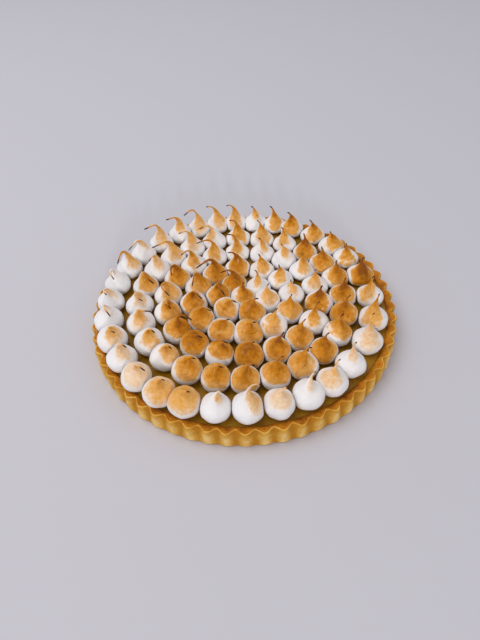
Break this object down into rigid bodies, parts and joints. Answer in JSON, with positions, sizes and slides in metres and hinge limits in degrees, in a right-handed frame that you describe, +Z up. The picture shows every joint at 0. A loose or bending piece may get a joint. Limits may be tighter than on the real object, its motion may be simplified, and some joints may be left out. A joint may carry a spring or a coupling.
{
  "type": "lemon meringue tart",
  "caption": "Round shallow tart: fluted pastry case, lemon curd filling, and concentric rings of piped, torch-browned meringue kisses with curled tips.",
  "frame": {"origin": "centre of the pastry case's flat base", "axes": "+Z up out of the base; -Y is the side nearest the viewer"},
  "size_m": [0.265, 0.2648, 0.0542],
  "materials": {
    "pastry": "baked shortcrust, matte, browned on the rim and pale on the sides",
    "curd": "set lemon curd, smooth and slightly glossy",
    "meringue": "satin white meringue with torched tan to dark brown patches and burnt tips"
  },
  "bodies": {
    "root": {"crust": "pastry", "lemon_curd": "curd", "meringue_ring_1": "meringue", "meringue_ring_2": "meringue", "meringue_ring_3": "meringue", "meringue_ring_4": "meringue", "meringue_ring_5": "meringue", "meringue_centre": "meringue"}
  },
  "joints": []
}
